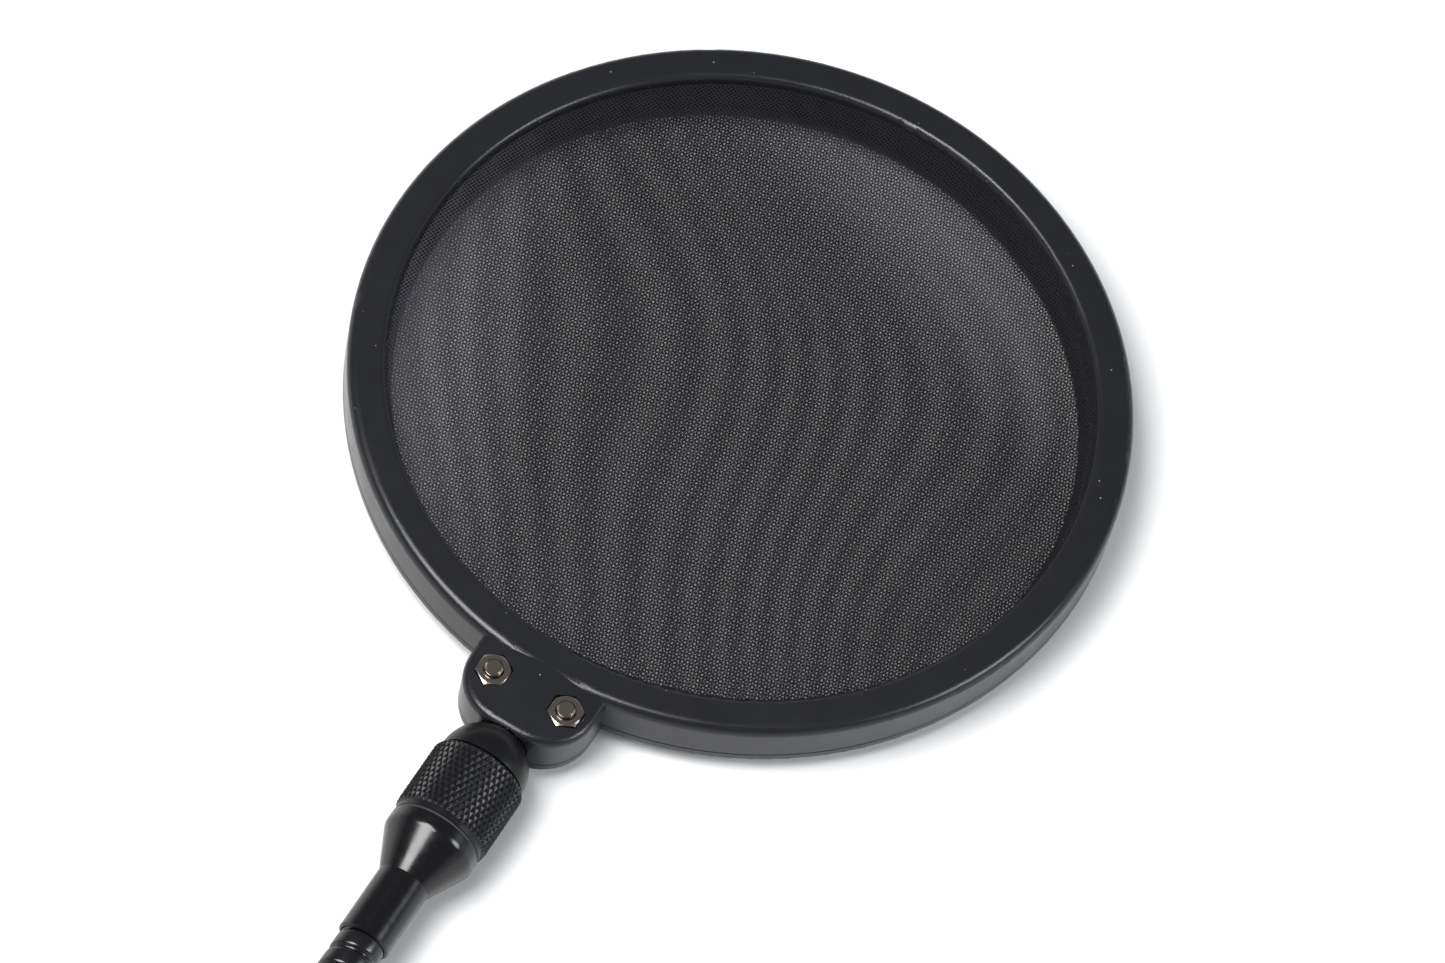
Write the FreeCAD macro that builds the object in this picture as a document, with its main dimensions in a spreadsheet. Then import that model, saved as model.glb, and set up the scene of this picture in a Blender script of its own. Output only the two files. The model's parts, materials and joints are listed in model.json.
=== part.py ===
import FreeCAD, Part
import os
import re
import Sketcher

# Pop filter: a round two-shell hoop with two nylon screens, a locking ball joint,
# a gooseneck and a stand clamp. Millimetres, +Z up, lying flat.
# The origin is on the axis of the stand tube that the clamp's saddle holds.
# The arm runs along +Y from the clamp to the hoop, and the hoop faces +Z.
# A "reach" is a distance from the hoop's centre towards the clamp, so y = saddle_reach - reach.

SIZES = {
    # hoop, heights measured from its rear face
    "hoop_radius": 86.0,
    "hoop_depth": 13.0,
    "hoop_half_depth": 6.5,
    "face_opening_radius": 77.5,
    "face_wall": 2.4,
    "side_wall": 2.0,
    "part_line": 2.9,
    "part_groove": 0.35,
    "face_outer_round": 2.2,
    "face_inner_round": 1.6,
    "rear_outer_round": 1.0,
    "rear_inner_round": 0.8,
    "rear_opening_radius": 75.5,
    "rear_lip_floor": 1.9,
    "rear_lip_height": 4.0,
    "rear_lip_inner": 82.0,
    "rear_lip_outer": 83.9,
    "screen_seat_radius": 79.8,
    # screens and the ring that holds them apart
    "screen_radius": 79.6,
    "screen_thickness": 0.4,
    "spacer_outer": 79.7,
    "spacer_bottom_inner": 76.7,
    "spacer_top_inner": 77.3,
    # lug
    "lug_half_width": 15.2,
    "lug_root_reach": 82.0,
    "lug_end_reach": 101.7,
    "lug_corner": 12.0,
    "lug_edge_round": 1.7,
    "lug_crown_radius": 92.0,
    "lug_centre_reach": 87.4,
    # lug fasteners, M4
    "bolt_half_spacing": 8.85,
    "bolt_reach": 91.1,
    "bolt_radius": 2.0,
    "bolt_hole_radius": 2.15,
    "bolt_end_rise": 1.1,
    "bolt_end_chamfer": 0.4,
    "bolt_head_radius": 4.0,
    "bolt_head_depth": 2.3,
    "bolt_key_radius": 1.45,
    "bolt_key_depth": 1.4,
    "nut_corner_radius": 4.04,
    "nut_face_radius": 3.35,
    "nut_chamfer": 0.4,
    "nut_height": 3.2,
    "nut_pocket_corner_radius": 4.27,
    "nut_pocket_depth": 3.4,
    # ball stud
    "ball_reach": 109.6,
    "ball_radius": 6.0,
    "neck_radius": 2.2,
    "neck_channel_radius": 2.35,
    "tongue_half_thickness": 1.5,
    "tongue_radius": 13.0,
    "tongue_start_reach": 86.7,
    "tongue_end_reach": 98.2,
    "tongue_hole_radius": 2.1,
    "tongue_pocket_gap": 0.2,
    "ball_recess_radius": 10.3,
    # socket
    "cap_radius": 9.9,
    "cap_skirt_angle": 3.0,
    "cap_spigot_radius": 8.45,
    "cap_flange_radius": 9.35,
    "cap_flange_reach": 112.9,
    "cap_flange_height": 1.3,
    "socket_radius": 7.2,
    "socket_bore_radius": 7.25,
    "cap_hole_reach": 98.6,
    "cap_hole_outer_radius": 6.87,
    "cap_hole_inner_radius": 4.13,
    "cap_hole_height": 7.5,
    "liner_radius": 7.15,
    "liner_bore_radius": 6.06,
    "liner_top_angle": 41.5,
    "liner_bottom_angle": 38.0,
    "seat_reach": 114.3,
    "seat_radius": 9.3,
    "seat_height": 3.3,
    "spring_reach": 117.7,
    "spring_height": 0.7,
    "spring_thickness": 0.5,
    "spring_outer": 9.2,
    "spring_inner": 5.2,
    # knurled collar and its washers
    "collar_reach": 110.9,
    "collar_lip_radius": 8.55,
    "collar_lip_height": 1.4,
    "collar_bore_radius": 9.45,
    "collar_radius": 10.85,
    "collar_chamfer": 0.6,
    "collar_knurl_end": 16.1,
    "collar_band_radius": 10.2,
    "collar_length": 17.4,
    "thrust_reach": 112.34,
    "thrust_height": 0.5,
    "thrust_inner": 8.55,
    "thrust_outer": 9.35,
    "ring_reach": 128.35,
    "ring_height": 0.5,
    "ring_inner": 9.45,
    "ring_outer": 10.05,
    # upper ferrule
    "ferrule_reach": 118.5,
    "ferrule_bore": 3.0,
    "ferrule_thread_radius": 9.38,
    "ferrule_shoulder": 10.4,
    "ferrule_radius": 10.35,
    "ferrule_cone_start": 13.3,
    "ferrule_cone_end": 22.9,
    "ferrule_tube_radius": 5.85,
    "ferrule_length": 39.1,
    "ferrule_end_chamfer": 0.4,
    "ferrule_shoulder_round": 3.0,
    # gooseneck
    "neck_start_reach": 157.6,
    "neck_segment": 43.0,
    "neck_insert": 12.0,
    "gooseneck_radius": 5.2,
    "socket_hole_radius": 5.25,
    "socket_hole_depth": 13.1,
    "segment_gap": 0.25,
    "segment_tip_radius": 0.9,
    "segment_taper": 1.55,
    # lower ferrule
    "base_ferrule_reach": 458.6,
    "base_tube_length": 16.0,
    "base_flare_end": 19.5,
    "base_radius": 9.0,
    "base_length": 23.0,
    "stud_radius": 4.0,
    "stud_length": 9.9,
    # clamp
    "saddle_reach": 506.3,
    "frame_reach": 481.6,
    "frame_length": 70.9,
    "frame_width": 44.0,
    "frame_spine_x": 30.0,
    "frame_half_depth": 10.9,
    "spine_thickness": 9.0,
    "jaw_thickness": 10.0,
    "screw_arm_thickness": 12.0,
    "frame_outer_round": 9.0,
    "frame_inner_round": 4.0,
    "frame_edge_round": 1.2,
    "rib_recess_width": 4.0,
    "rib_recess_length": 46.0,
    "rib_recess_depth": 4.5,
    "stud_hole_radius": 4.15,
    "stud_nut_corner_radius": 7.5,
    "stud_nut_pocket_radius": 7.7,
    "stud_nut_height": 4.8,
    "stud_nut_pocket_depth": 5.0,
    "saddle_half_width": 12.0,
    "saddle_height": 8.6,
    "saddle_half_depth": 10.5,
    "stand_tube_radius": 12.7,
    "insert_radius": 7.0,
    "insert_flange_radius": 8.6,
    "insert_flange_height": 1.2,
    "insert_bore_radius": 4.05,
    "screw_radius": 3.98,
    "screw_nose_radius": 2.95,
    "screw_nose_reach": 528.15,
    "screw_nose_length": 3.4,
    "screw_end_reach": 582.0,
    "screw_end_chamfer": 0.6,
    "foot_reach": 527.0,
    "foot_height": 4.0,
    "foot_radius": 10.0,
    "foot_hole_radius": 3.03,
    "foot_hole_depth": 3.0,
    "foot_round": 0.8,
    "foot_pad_height": 2.0,
    "foot_pad_radius": 9.6,
    "knob_reach": 572.5,
    "knob_hub_radius": 8.0,
    "knob_height": 12.0,
    "knob_skirt_radius": 6.6,
    "knob_skirt_height": 1.5,
    "wing_half_span": 19.0,
    "wing_half_depth": 4.5,
    "wing_round": 4.3,
}

UPRIGHT = FreeCAD.Rotation()
# turns local +Z into -Y, so a piece's local height runs away from the hoop
ALONG_ARM = FreeCAD.Rotation(FreeCAD.Vector(1, 0, 0), 90)
SIXTH_TURN = FreeCAD.Rotation(FreeCAD.Vector(0, 0, 1), 30)
ARM_HEX = ALONG_ARM.multiply(SIXTH_TURN)

doc = FreeCAD.newDocument("pop_filter")
sheet = doc.addObject("Spreadsheet::Sheet", "Sizes")
for row, (alias, size) in enumerate(SIZES.items(), start=1):
    sheet.set("A%d" % row, alias)
    sheet.set("B%d" % row, str(size))
    sheet.setAlias("B%d" % row, alias)
doc.recompute()

subparts = []


# ---------------------------------------------------------------- helpers
def bound(text):
    """The expression with each size's name pointing at its cell."""
    return re.sub("[a-z_]+", lambda word: "Sizes." + word.group(), text)


def number(text):
    """The value of a sum of sizes and plain numbers, such as 'hoop_depth - face_wall'."""
    total = 0.0
    sign = 1
    for word in text.split():
        if word in ("+", "-"):
            sign = 1 if word == "+" else -1
        else:
            total += sign * (SIZES[word] if word in SIZES else float(word))
            sign = 1
    return total


def place(thing, x="0", y="0", z="0", turn=UPRIGHT):
    thing.Placement = FreeCAD.Placement(FreeCAD.Vector(), turn)
    for axis, text in zip("xyz", (x, y, z)):
        if text != "0":
            thing.setExpression("Placement.Base." + axis, bound(text))
    return thing


def at_reach(reach):
    return "saddle_reach - (%s)" % reach


def primitive(kind, name, dims, **where):
    thing = doc.addObject("Part::" + kind, name)
    for prop, text in dims.items():
        thing.setExpression(prop, bound(text))
    return place(thing, **where)


def box(name, length, width, height, **where):
    return primitive("Box", name, {"Length": length, "Width": width, "Height": height}, **where)


def cylinder(name, radius, height, **where):
    return primitive("Cylinder", name, {"Radius": radius, "Height": height}, **where)


def cone(name, low_radius, high_radius, height, **where):
    dims = {"Radius1": low_radius, "Radius2": high_radius, "Height": height}
    return primitive("Cone", name, dims, **where)


def sphere(name, radius, low_angle="-90", high_angle="90", **where):
    dims = {"Radius": radius, "Angle1": low_angle, "Angle2": high_angle}
    return primitive("Sphere", name, dims, **where)


def hexagon(name, corner_radius, height, **where):
    thing = primitive("Prism", name, {"Circumradius": corner_radius, "Height": height}, **where)
    thing.Polygon = 6
    return thing


def join(name, pieces, kind="MultiFuse"):
    thing = doc.addObject("Part::" + kind, name)
    thing.Shapes = pieces
    return thing


def cut(name, base, tools):
    thing = doc.addObject("Part::Cut", name)
    thing.Base = base
    thing.Tool = tools[0] if len(tools) == 1 else join(name + "_tools", tools)
    return thing


def rounded(name, base, radius, wanted):
    """Round the edges of base that the test 'wanted' picks, with a radius from the sheet."""
    doc.recompute()
    thing = doc.addObject("Part::Fillet", name)
    thing.Base = base
    thing.Edges = [
        (index, SIZES[radius], SIZES[radius])
        for index, edge in enumerate(base.Shape.Edges, start=1)
        if wanted(edge)
    ]
    return thing


def outline_sketch(body, role, corners):
    """Closed outline of straight lines whose corners are bound to the sheet, on an origin plane."""
    plane = [feature for feature in body.Origin.OriginFeatures if feature.Role == role][0]
    sketch = body.newObject("Sketcher::SketchObject", body.Name + "_outline")
    sketch.AttachmentSupport = [(plane, "")]
    sketch.MapMode = "FlatFace"
    places = [FreeCAD.Vector(number(u), number(v), 0) for u, v in corners]
    for first, second in zip(places, places[1:] + places[:1]):
        sketch.addGeometry(Part.LineSegment(first, second))
    for line, (u, v) in enumerate(corners):
        following = (line + 1) % len(corners)
        sketch.addConstraint(Sketcher.Constraint("Coincident", line, 2, following, 1))
        for kind, text, axis in (("DistanceX", u, -2), ("DistanceY", v, -1)):
            if text == "0":
                sketch.addConstraint(Sketcher.Constraint("PointOnObject", line, 1, axis))
            else:
                rule = Sketcher.Constraint(kind, -1, 1, line, 1, number(text))
                index = sketch.addConstraint(rule)
                sketch.setExpression("Constraints[%d]" % index, bound(text))
    return sketch


def turned(name, corners, **where):
    """A turned piece: its outline of (radius, height) corners goes once round local Z."""
    body = doc.addObject("PartDesign::Body", name)
    sketch = outline_sketch(body, "XZ_Plane", corners)
    revolution = body.newObject("PartDesign::Revolution", name + "_turned")
    revolution.Profile = sketch
    revolution.ReferenceAxis = (sketch, ["V_Axis"])
    revolution.Angle = 360
    return place(body, **where)


def round_body(body, radius, wanted):
    """Round the edges of a body's last feature that the test 'wanted' picks."""
    doc.recompute()
    last = body.Tip
    names = [
        "Edge%d" % index
        for index, edge in enumerate(last.Shape.Edges, start=1)
        if wanted(edge)
    ]
    fillet = body.newObject("PartDesign::Fillet", body.Name + "_" + radius)
    fillet.Base = (last, names)
    fillet.setExpression("Radius", bound(radius))


def near(value, wanted):
    return abs(value - wanted) < 0.01


def circle_test(radius, height):
    """A test for a turned piece's round edge of this radius and local height."""
    def wanted(edge):
        curve = edge.Curve
        if not isinstance(curve, Part.Circle):
            return False
        return near(curve.Radius, number(radius)) and near(curve.Center.z, number(height))
    return wanted


def keep(thing, label):
    """Name a finished sub-part; the label is its node and file name."""
    thing.Label = label
    subparts.append(thing)
    return thing


# ---------------------------------------------------------------- hoop
HOOP = {"y": "saddle_reach", "z": "0 - hoop_half_depth"}


def hoop_ring(name, corners):
    return turned(name, corners, **HOOP)


def lug_plate(name, bottom, top, inset="0"):
    """The lug's outline, drawn in by inset, as a plate between two heights above the rear face."""
    end = "lug_end_reach - %s" % inset
    plate = box(
        name, "lug_half_width * 2 - %s * 2" % inset, "%s - lug_root_reach" % end,
        "%s - (%s)" % (top, bottom),
        x="%s - lug_half_width" % inset, y=at_reach(end), z="%s - hoop_half_depth" % bottom,
    )
    end_y = number("saddle_reach - lug_end_reach + %s" % inset)

    def free_corner(edge):
        ends = [vertex.Point for vertex in edge.Vertexes]
        return all(near(point.y, end_y) for point in ends) and near(ends[0].x, ends[1].x)
    return rounded(name + "_corners", plate, "lug_corner", free_corner)


def tongue_plate(name, gap, bottom, top):
    """The stud's flat tongue, or with a gap the pocket for it, between two heights."""
    low = "%s - hoop_half_depth" % bottom
    height = "%s - (%s)" % (top, bottom)
    disc = cylinder(
        name + "_disc", "tongue_radius + %s" % gap, height,
        y=at_reach("lug_centre_reach"), z=low,
    )
    strip = box(
        name + "_strip", "lug_half_width * 2",
        "tongue_end_reach - tongue_start_reach + %s * 2" % gap, height,
        x="0 - lug_half_width", y=at_reach("tongue_end_reach + %s" % gap), z=low,
    )
    return join(name, [disc, strip], "MultiCommon")


def pair(name, maker):
    """The same feature at both bolt places."""
    return [
        maker(name + "_left", "0 - bolt_half_spacing"),
        maker(name + "_right", "bolt_half_spacing"),
    ]


BOLT_Y = at_reach("bolt_reach")
bolt_holes = pair("bolt_hole", lambda name, x: cylinder(
    name, "bolt_hole_radius", "hoop_depth + 2", x=x, y=BOLT_Y, z="0 - hoop_half_depth - 1",
))
nut_pockets = pair("nut_pocket", lambda name, x: hexagon(
    name, "nut_pocket_corner_radius", "nut_pocket_depth + 2",
    x=x, y=BOLT_Y, z="hoop_half_depth - nut_pocket_depth", turn=SIXTH_TURN,
))
head_seats = pair("head_seat", lambda name, x: cone(
    name, "bolt_head_radius + 0.1", "bolt_radius", "bolt_head_depth + 0.1",
    x=x, y=BOLT_Y, z="0 - hoop_half_depth",
))
ball_recess = sphere("ball_recess", "ball_recess_radius", y=at_reach("ball_reach"))
neck_channel = cylinder(
    "neck_channel", "neck_channel_radius", "6",
    y=at_reach("tongue_end_reach - 1.2"), turn=ALONG_ARM,
)
neck_slot = box(
    "neck_slot", "neck_channel_radius * 2", "6", "hoop_half_depth - part_line + 0.5",
    x="0 - neck_channel_radius", y=at_reach("tongue_end_reach + 4.8"),
    z="part_line - hoop_half_depth - 0.5",
)

# front shell: face, side wall and the crowned half of the lug
front_ring = hoop_ring("front_ring", [
    ("hoop_radius - side_wall", "part_line"),
    ("hoop_radius", "part_line"),
    ("hoop_radius", "hoop_depth"),
    ("face_opening_radius", "hoop_depth"),
    ("face_opening_radius", "hoop_depth - face_wall"),
    ("hoop_radius - side_wall", "hoop_depth - face_wall"),
])
round_body(front_ring, "face_outer_round", circle_test("hoop_radius", "hoop_depth"))
round_body(front_ring, "face_inner_round", circle_test("face_opening_radius", "hoop_depth"))
lug_crown = cylinder(
    "lug_crown", "lug_crown_radius", "60", y=at_reach("60"),
    z="hoop_half_depth - lug_crown_radius", turn=ALONG_ARM,
)
front_lug_plate = join(
    "front_lug_plate", [lug_plate("front_lug", "part_line", "hoop_depth"), lug_crown], "MultiCommon",
)
lug_floor = number("part_line - hoop_half_depth")
front_lug = rounded(
    "front_lug_rounded", front_lug_plate, "lug_edge_round",
    lambda edge: min(vertex.Point.z for vertex in edge.Vertexes) > lug_floor + 1
    and edge.BoundBox.YMin < number("saddle_reach - lug_root_reach") - 1,
)
front_tongue_pocket = tongue_plate(
    "front_tongue_pocket", "tongue_pocket_gap", "0", "hoop_half_depth + tongue_half_thickness",
)
front_hollow = cylinder(
    "front_hollow", "hoop_radius - side_wall", "hoop_depth - face_wall",
    y="saddle_reach", z="0 - hoop_half_depth",
)
front_blank = join("front_blank", [front_ring, front_lug])
front_shell = cut(
    "front_shell", front_blank,
    bolt_holes + nut_pockets + [
        ball_recess, neck_channel, neck_slot, front_tongue_pocket, front_hollow,
    ],
)
keep(front_shell, "front_shell")

# rear shell: flange, locating lip, flat half of the lug and the pad that clamps the tongue
rear_ring = hoop_ring("rear_ring", [
    ("rear_opening_radius", "0"),
    ("hoop_radius", "0"),
    ("hoop_radius", "part_line - part_groove"),
    ("hoop_radius - part_groove", "part_line - part_groove"),
    ("hoop_radius - part_groove", "part_line"),
    ("rear_lip_outer", "part_line"),
    ("rear_lip_outer", "rear_lip_height"),
    ("rear_lip_inner", "rear_lip_height"),
    ("rear_lip_inner", "part_line"),
    ("screen_seat_radius", "part_line"),
    ("screen_seat_radius", "rear_lip_floor"),
    ("rear_opening_radius", "rear_lip_floor"),
])
round_body(rear_ring, "rear_outer_round", circle_test("hoop_radius", "0"))
round_body(rear_ring, "rear_inner_round", circle_test("rear_opening_radius", "0"))
rear_lug = rounded(
    "rear_lug_rounded", lug_plate("rear_lug", "0", "part_line - part_groove"), "rear_outer_round",
    lambda edge: edge.BoundBox.ZMax < number("0 - hoop_half_depth") + 0.01
    and edge.BoundBox.YMin < number("saddle_reach - lug_root_reach") - 1,
)
rear_lug_step = lug_plate("rear_lug_step", "part_line - part_groove - 0.2", "part_line", "part_groove")
rear_pad = tongue_plate("rear_pad", "0", "part_line - 0.5", "hoop_half_depth - tongue_half_thickness")
rear_blank = join("rear_blank", [rear_ring, rear_lug, rear_lug_step, rear_pad])
rear_shell = cut(
    "rear_shell", rear_blank, bolt_holes + head_seats + [ball_recess, neck_channel],
)
keep(rear_shell, "rear_shell")


# the two nylon screens, as plain discs, and the ring between them
def screen(label, bottom):
    disc = cylinder(
        label + "_disc", "screen_radius", "screen_thickness",
        y="saddle_reach", z="%s - hoop_half_depth" % bottom,
    )
    return keep(disc, label)


screen("rear_screen", "rear_lip_floor")
screen("front_screen", "hoop_depth - face_wall - screen_thickness")
spacer_ring = hoop_ring("spacer_turned", [
    ("spacer_bottom_inner", "rear_lip_floor + screen_thickness"),
    ("spacer_outer", "rear_lip_floor + screen_thickness"),
    ("spacer_outer", "hoop_depth - face_wall - screen_thickness"),
    ("spacer_top_inner", "hoop_depth - face_wall - screen_thickness"),
])
keep(spacer_ring, "screen_spacer_ring")


# M4 nuts in the face pockets and countersunk bolts from the back
def lug_nut(name, x):
    low = "hoop_half_depth - nut_pocket_depth"
    blank = hexagon(name + "_hex", "nut_corner_radius", "nut_height", x=x, y=BOLT_Y, z=low,
                    turn=SIXTH_TURN)
    turning = turned(name + "_turning", [
        ("bolt_radius", "0"),
        ("nut_corner_radius", "0"),
        ("nut_corner_radius", "nut_height - nut_chamfer"),
        ("nut_face_radius", "nut_height"),
        ("bolt_radius + 0.3", "nut_height"),
        ("bolt_radius", "nut_height - 0.3"),
    ], x=x, y=BOLT_Y, z=low)
    return join(name, [blank, turning], "MultiCommon")


def lug_bolt(name, x):
    blank = turned(name + "_turned", [
        ("0", "0"),
        ("bolt_head_radius", "0"),
        ("bolt_radius", "bolt_head_depth"),
        ("bolt_radius", "hoop_depth + bolt_end_rise - bolt_end_chamfer"),
        ("bolt_radius - bolt_end_chamfer", "hoop_depth + bolt_end_rise"),
        ("0", "hoop_depth + bolt_end_rise"),
    ], x=x, y=BOLT_Y, z="0 - hoop_half_depth")
    key = hexagon(name + "_key", "bolt_key_radius", "bolt_key_depth", x=x, y=BOLT_Y,
                  z="0 - hoop_half_depth")
    return cut(name, blank, [key])


def group(label, pieces):
    compound = doc.addObject("Part::Compound", label)
    compound.Links = pieces
    return keep(compound, label)


group("lug_nuts", pair("lug_nut", lug_nut))
group("lug_bolts", pair("lug_bolt", lug_bolt))

# ball stud: flat tongue between the shells, neck and ball
tongue = tongue_plate(
    "tongue", "0", "hoop_half_depth - tongue_half_thickness",
    "hoop_half_depth + tongue_half_thickness",
)
tongue_holes = pair("tongue_hole", lambda name, x: cylinder(
    name, "tongue_hole_radius", "6", x=x, y=BOLT_Y, z="0 - 3",
))
stud_neck = cylinder(
    "stud_neck", "neck_radius", "ball_reach - tongue_end_reach + 0.5",
    y=at_reach("tongue_end_reach - 0.5"), turn=ALONG_ARM,
)
stud_ball = sphere("stud_ball", "ball_radius", y=at_reach("ball_reach"), turn=ALONG_ARM)
stud_blank = join("stud_blank", [tongue, stud_neck, stud_ball])
keep(cut("stud", stud_blank, tongue_holes), "ball_stud")


# ---------------------------------------------------------------- ball socket
def on_arm(reach):
    return {"y": at_reach(reach), "turn": ALONG_ARM}


cap_dome = sphere("cap_dome", "cap_radius", high_angle="cap_skirt_angle", **on_arm("ball_reach"))
cap_spigot = cylinder(
    "cap_spigot", "cap_spigot_radius", "cap_flange_reach - ball_reach", **on_arm("ball_reach"),
)
cap_flange = cylinder(
    "cap_flange", "cap_flange_radius", "cap_flange_height", **on_arm("cap_flange_reach"),
)
cap_socket = sphere("cap_socket", "socket_radius", **on_arm("ball_reach"))
cap_bore = cylinder(
    "cap_bore", "socket_bore_radius", "cap_flange_reach + cap_flange_height - ball_reach + 1",
    **on_arm("ball_reach"),
)
cap_hole = cone(
    "cap_hole", "cap_hole_outer_radius", "cap_hole_inner_radius", "cap_hole_height",
    **on_arm("cap_hole_reach"),
)
cap_blank = join("cap_blank", [cap_dome, cap_spigot, cap_flange])
keep(cut("cap", cap_blank, [cap_socket, cap_bore, cap_hole]), "socket_cap")

liner_zone = sphere(
    "liner_zone", "liner_radius", "0 - liner_top_angle", "liner_bottom_angle",
    **on_arm("ball_reach"),
)
liner_bore = sphere("liner_bore", "liner_bore_radius", **on_arm("ball_reach"))
keep(cut("liner", liner_zone, [liner_bore]), "socket_liner")

seat_blank = cylinder("seat_blank", "seat_radius", "seat_height", **on_arm("seat_reach"))
keep(cut("seat", seat_blank, [cap_socket]), "pressure_seat")

disc_spring = turned("disc_spring_turned", [
    ("spring_inner", "0"),
    ("spring_inner", "spring_thickness"),
    ("spring_outer", "spring_height"),
    ("spring_outer", "spring_height - spring_thickness"),
], **on_arm("spring_reach"))
keep(disc_spring, "disc_spring")


# ---------------------------------------------------------------- collar and upper ferrule
def washer(name, inner, outer, height, reach):
    corners = [(inner, "0"), (outer, "0"), (outer, height), (inner, height)]
    return turned(name, corners, **on_arm(reach))


collar = turned("collar_turned", [
    ("collar_lip_radius", "0"),
    ("collar_radius - collar_chamfer", "0"),
    ("collar_radius", "collar_chamfer"),
    ("collar_radius", "collar_knurl_end - collar_chamfer"),
    ("collar_radius - collar_chamfer", "collar_knurl_end"),
    ("collar_band_radius", "collar_knurl_end"),
    ("collar_band_radius", "collar_length"),
    ("collar_bore_radius", "collar_length"),
    ("collar_bore_radius", "collar_lip_height"),
    ("collar_lip_radius", "collar_lip_height"),
], **on_arm("collar_reach"))
keep(collar, "knurled_collar")
thrust = washer("thrust_turned", "thrust_inner", "thrust_outer", "thrust_height", "thrust_reach")
keep(thrust, "thrust_washer")
ring = washer("ring_turned", "ring_inner", "ring_outer", "ring_height", "ring_reach")
keep(ring, "seal_ring")

ferrule = turned("ferrule_turned", [
    ("ferrule_bore", "0"),
    ("ferrule_thread_radius", "0"),
    ("ferrule_thread_radius", "ferrule_shoulder"),
    ("ferrule_radius", "ferrule_shoulder"),
    ("ferrule_radius", "ferrule_cone_start"),
    ("ferrule_tube_radius", "ferrule_cone_end"),
    ("ferrule_tube_radius", "ferrule_length - ferrule_end_chamfer"),
    ("ferrule_tube_radius - ferrule_end_chamfer", "ferrule_length"),
    ("socket_hole_radius", "ferrule_length"),
    ("socket_hole_radius", "ferrule_length - socket_hole_depth"),
    ("ferrule_bore", "ferrule_length - socket_hole_depth"),
], **on_arm("ferrule_reach"))
round_body(ferrule, "ferrule_shoulder_round", circle_test("ferrule_radius", "ferrule_cone_start"))
keep(ferrule, "upper_ferrule")

# ---------------------------------------------------------------- gooseneck
SEGMENTS = 7


def neck_segment(index):
    """One length of the gooseneck, tapered at each bending point so that neighbours can tilt."""
    first = index == 0
    last = index == SEGMENTS - 1
    start = "0 - neck_insert" if first else "0"
    end = "neck_segment + neck_insert" if last else "neck_segment"
    near_end = [("0", start), ("gooseneck_radius", start)] if first else [
        ("0", "segment_gap"),
        ("segment_tip_radius", "segment_gap"),
        ("gooseneck_radius", "segment_taper"),
    ]
    far_end = [("gooseneck_radius", end), ("0", end)] if last else [
        ("gooseneck_radius", end + " - segment_taper"),
        ("segment_tip_radius", end + " - segment_gap"),
        ("0", end + " - segment_gap"),
    ]
    reach = "neck_start_reach + neck_segment * %d" % index
    body = turned("neck_segment_%d" % (index + 1), near_end + far_end, **on_arm(reach))
    return keep(body, "gooseneck_segment_%d" % (index + 1))


for index in range(SEGMENTS):
    neck_segment(index)

# ---------------------------------------------------------------- stand clamp
base_ferrule = turned("base_turned", [
    ("socket_hole_radius", "0"),
    ("ferrule_tube_radius - ferrule_end_chamfer", "0"),
    ("ferrule_tube_radius", "ferrule_end_chamfer"),
    ("ferrule_tube_radius", "base_tube_length"),
    ("base_radius", "base_flare_end"),
    ("base_radius", "base_length"),
    ("stud_radius", "base_length"),
    ("stud_radius", "base_length + stud_length"),
    ("0", "base_length + stud_length"),
    ("0", "socket_hole_depth"),
    ("socket_hole_radius", "socket_hole_depth"),
], **on_arm("base_ferrule_reach"))
keep(base_ferrule, "lower_ferrule")

# C-shaped frame, drawn from its outer corner at the spine and the screw arm
frame_body = doc.addObject("PartDesign::Body", "frame_body")
frame_outline = outline_sketch(frame_body, "XY_Plane", [
    ("0", "0"),
    ("frame_width", "0"),
    ("frame_width", "screw_arm_thickness"),
    ("spine_thickness", "screw_arm_thickness"),
    ("spine_thickness", "frame_length - jaw_thickness"),
    ("frame_width", "frame_length - jaw_thickness"),
    ("frame_width", "frame_length"),
    ("0", "frame_length"),
])
frame_pad = frame_body.newObject("PartDesign::Pad", "frame_pad")
frame_pad.Profile = frame_outline
frame_pad.setExpression("Length", bound("frame_half_depth * 2"))


def upright_edge(x):
    """Chooses the straight edges along Z at one x."""
    def wanted(edge):
        ends = [vertex.Point for vertex in edge.Vertexes]
        upright = near(ends[0].x, ends[1].x) and near(ends[0].y, ends[1].y)
        return upright and near(ends[0].x, x)
    return wanted


round_body(frame_body, "frame_outer_round", upright_edge(0))
round_body(frame_body, "frame_inner_round", upright_edge(SIZES["spine_thickness"]))
round_body(
    frame_body, "frame_edge_round",
    lambda edge: near(edge.BoundBox.ZLength, 0) and edge.Length > 1,
)
place(
    frame_body, x="0 - frame_spine_x", y=at_reach("frame_reach + frame_length"),
    z="0 - frame_half_depth",
)


def rib_recess(name, z):
    return box(
        name, "rib_recess_width", "rib_recess_length", "rib_recess_depth",
        x="0 - frame_spine_x + (spine_thickness - rib_recess_width) / 2",
        y=at_reach("frame_reach + (frame_length + rib_recess_length) / 2"), z=z,
    )


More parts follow.
